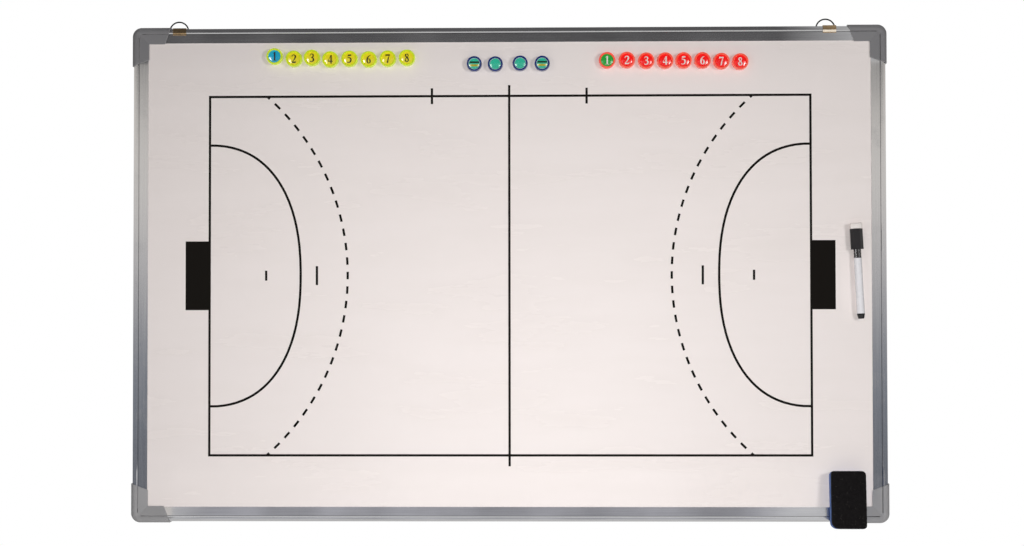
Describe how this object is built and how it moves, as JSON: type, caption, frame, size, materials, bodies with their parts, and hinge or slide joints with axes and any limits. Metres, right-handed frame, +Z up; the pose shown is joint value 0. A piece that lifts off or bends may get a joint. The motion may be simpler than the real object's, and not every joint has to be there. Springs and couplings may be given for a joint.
{
  "type": "tactics board",
  "caption": "Framed magnetic dry-wipe tactics board with a printed handball court, hanging rings, sliding numbered magnets, a capped marker and a felt eraser.",
  "frame": {"origin": "centre of the wall plane that the corner caps' rear faces lie on", "axes": "+X to the right along the board's long side seen from the front, +Y back into the wall, +Z up"},
  "size_m": [0.903, 0.0417, 0.6096],
  "materials": {
    "sheet_lacquer": "gloss white lacquer on steel, dry-wipe",
    "court_ink": "screen-printed black ink under the lacquer's gloss",
    "core_fibreboard": "soft fibreboard",
    "back_steel": "galvanised sheet",
    "rail_aluminium": "satin anodised extrusion",
    "cap_plastic": "moulded grey plastic, fine grain",
    "screw_steel": "zinc-plated",
    "clip_steel": "yellow zinc-plated strip",
    "ring_steel": "nickel-plated wire",
    "token_yellow": "translucent neon yellow moulding",
    "token_red": "translucent neon red moulding",
    "token_blue": "dark blue moulding",
    "marker_black": "moulded black plastic",
    "marker_white": "moulded white plastic",
    "felt_white": "pressed white felt",
    "nib_felt": "ink-soaked fibre",
    "ferrite": "sintered ferrite",
    "eraser_foam": "blue closed-cell foam",
    "eraser_felt": "pressed black felt"
  },
  "bodies": {
    "board": {"writing_sheet": "sheet_lacquer", "court_print": "court_ink", "core_panel": "core_fibreboard", "back_sheet": "back_steel", "rail_top": "rail_aluminium", "rail_bottom": "rail_aluminium", "rail_left": "rail_aluminium", "rail_right": "rail_aluminium", "corner_cap_top_left": "cap_plastic", "corner_cap_top_right": "cap_plastic", "corner_cap_bottom_left": "cap_plastic", "corner_cap_bottom_right": "cap_plastic", "corner_screws": "screw_steel"},
    "hanger_left": {"hanger_clip_left": "clip_steel"},
    "ring_left": {"hanger_ring_left": "ring_steel"},
    "hanger_right": {"hanger_clip_right": "clip_steel"},
    "ring_right": {"hanger_ring_right": "ring_steel"},
    "token_yellow_1": {"token_yellow_1": "token_yellow"},
    "token_yellow_2": {"token_yellow_2": "token_yellow"},
    "token_yellow_3": {"token_yellow_3": "token_yellow"},
    "token_yellow_4": {"token_yellow_4": "token_yellow"},
    "token_yellow_5": {"token_yellow_5": "token_yellow"},
    "token_yellow_6": {"token_yellow_6": "token_yellow"},
    "token_yellow_7": {"token_yellow_7": "token_yellow"},
    "token_yellow_8": {"token_yellow_8": "token_yellow"},
    "token_red_1": {"token_red_1": "token_red"},
    "token_red_2": {"token_red_2": "token_red"},
    "token_red_3": {"token_red_3": "token_red"},
    "token_red_4": {"token_red_4": "token_red"},
    "token_red_5": {"token_red_5": "token_red"},
    "token_red_6": {"token_red_6": "token_red"},
    "token_red_7": {"token_red_7": "token_red"},
    "token_red_8": {"token_red_8": "token_red"},
    "token_blue_1": {"token_blue_1": "token_blue"},
    "token_blue_2": {"token_blue_2": "token_blue"},
    "token_blue_3": {"token_blue_3": "token_blue"},
    "token_blue_4": {"token_blue_4": "token_blue"},
    "marker_cap": {"marker_cap": "marker_black", "marker_cap_felt": "felt_white", "marker_cap_magnet": "ferrite"},
    "marker_pen": {"marker_grip": "marker_black", "marker_nib": "nib_felt", "marker_barrel": "marker_white", "marker_end_plug": "marker_black", "marker_ink_reservoir": "nib_felt"},
    "eraser": {"eraser_body": "eraser_foam", "eraser_felt": "eraser_felt", "eraser_magnets": "ferrite"}
  },
  "joints": [
    {"name": "hanger_left_slide", "type": "slide", "parent": "board", "child": "hanger_left", "axis": [1, 0, 0], "range_m": [-0.0015, 0.375]},
    {"name": "ring_left_swing", "type": "hinge", "parent": "hanger_left", "child": "ring_left", "pos_m": [-0.395, -0.002, 0.28835], "axis": [-1, 0, 0], "range_deg": [0, 185]},
    {"name": "hanger_right_slide", "type": "slide", "parent": "board", "child": "hanger_right", "axis": [1, 0, 0], "range_m": [-0.3637, 0.0128]},
    {"name": "ring_right_swing", "type": "hinge", "parent": "hanger_right", "child": "ring_right", "pos_m": [0.3837, -0.002, 0.28835], "axis": [-1, 0, 0], "range_deg": [0, 185]},
    {"name": "token_yellow_1_slide", "type": "slide", "parent": "board", "child": "token_yellow_1", "axis": [0, 0, 1], "range_m": [-0.5288, 0.0062]},
    {"name": "token_yellow_2_slide", "type": "slide", "parent": "board", "child": "token_yellow_2", "axis": [0, 0, 1], "range_m": [-0.5259, 0.0091]},
    {"name": "token_yellow_3_slide", "type": "slide", "parent": "board", "child": "token_yellow_3", "axis": [0, 0, 1], "range_m": [-0.5269, 0.0081]},
    {"name": "token_yellow_4_slide", "type": "slide", "parent": "board", "child": "token_yellow_4", "axis": [0, 0, 1], "range_m": [-0.5249, 0.0101]},
    {"name": "token_yellow_5_slide", "type": "slide", "parent": "board", "child": "token_yellow_5", "axis": [0, 0, 1], "range_m": [-0.5256, 0.0094]},
    {"name": "token_yellow_6_slide", "type": "slide", "parent": "board", "child": "token_yellow_6", "axis": [0, 0, 1], "range_m": [-0.5248, 0.0102]},
    {"name": "token_yellow_7_slide", "type": "slide", "parent": "board", "child": "token_yellow_7", "axis": [0, 0, 1], "range_m": [-0.5256, 0.0094]},
    {"name": "token_yellow_8_slide", "type": "slide", "parent": "board", "child": "token_yellow_8", "axis": [0, 0, 1], "range_m": [-0.5265, 0.0085]},
    {"name": "token_red_1_slide", "type": "slide", "parent": "board", "child": "token_red_1", "axis": [0, 0, 1], "range_m": [-0.5225, 0.0125]},
    {"name": "token_red_2_slide", "type": "slide", "parent": "board", "child": "token_red_2", "axis": [0, 0, 1], "range_m": [-0.5227, 0.0123]},
    {"name": "token_red_3_slide", "type": "slide", "parent": "board", "child": "token_red_3", "axis": [0, 0, 1], "range_m": [-0.5218, 0.0132]},
    {"name": "token_red_4_slide", "type": "slide", "parent": "board", "child": "token_red_4", "axis": [0, 0, 1], "range_m": [-0.5218, 0.0132]},
    {"name": "token_red_5_slide", "type": "slide", "parent": "board", "child": "token_red_5", "axis": [0, 0, 1], "range_m": [-0.5219, 0.0131]},
    {"name": "token_red_6_slide", "type": "slide", "parent": "board", "child": "token_red_6", "axis": [0, 0, 1], "range_m": [-0.5219, 0.0131]},
    {"name": "token_red_7_slide", "type": "slide", "parent": "board", "child": "token_red_7", "axis": [0, 0, 1], "range_m": [-0.5209, 0.0141]},
    {"name": "token_red_8_slide", "type": "slide", "parent": "board", "child": "token_red_8", "axis": [0, 0, 1], "range_m": [-0.5203, 0.0147]},
    {"name": "token_blue_1_slide", "type": "slide", "parent": "board", "child": "token_blue_1", "axis": [0, 0, 1], "range_m": [-0.5189, 0.0161]},
    {"name": "token_blue_2_slide", "type": "slide", "parent": "board", "child": "token_blue_2", "axis": [0, 0, 1], "range_m": [-0.5186, 0.0164]},
    {"name": "token_blue_3_slide", "type": "slide", "parent": "board", "child": "token_blue_3", "axis": [0, 0, 1], "range_m": [-0.5194, 0.0156]},
    {"name": "token_blue_4_slide", "type": "slide", "parent": "board", "child": "token_blue_4", "axis": [0, 0, 1], "range_m": [-0.5191, 0.0159]},
    {"name": "marker_lift", "type": "slide", "parent": "board", "child": "marker_cap", "axis": [0, -1, 0], "range_m": [0, 0.08]},
    {"name": "marker_uncap", "type": "slide", "parent": "marker_cap", "child": "marker_pen", "axis": [0.0523, 0, -0.9986], "range_m": [0, 0.03]},
    {"name": "eraser_lift", "type": "slide", "parent": "board", "child": "eraser", "axis": [0, -1, 0], "range_m": [0, 0.08]}
  ]
}
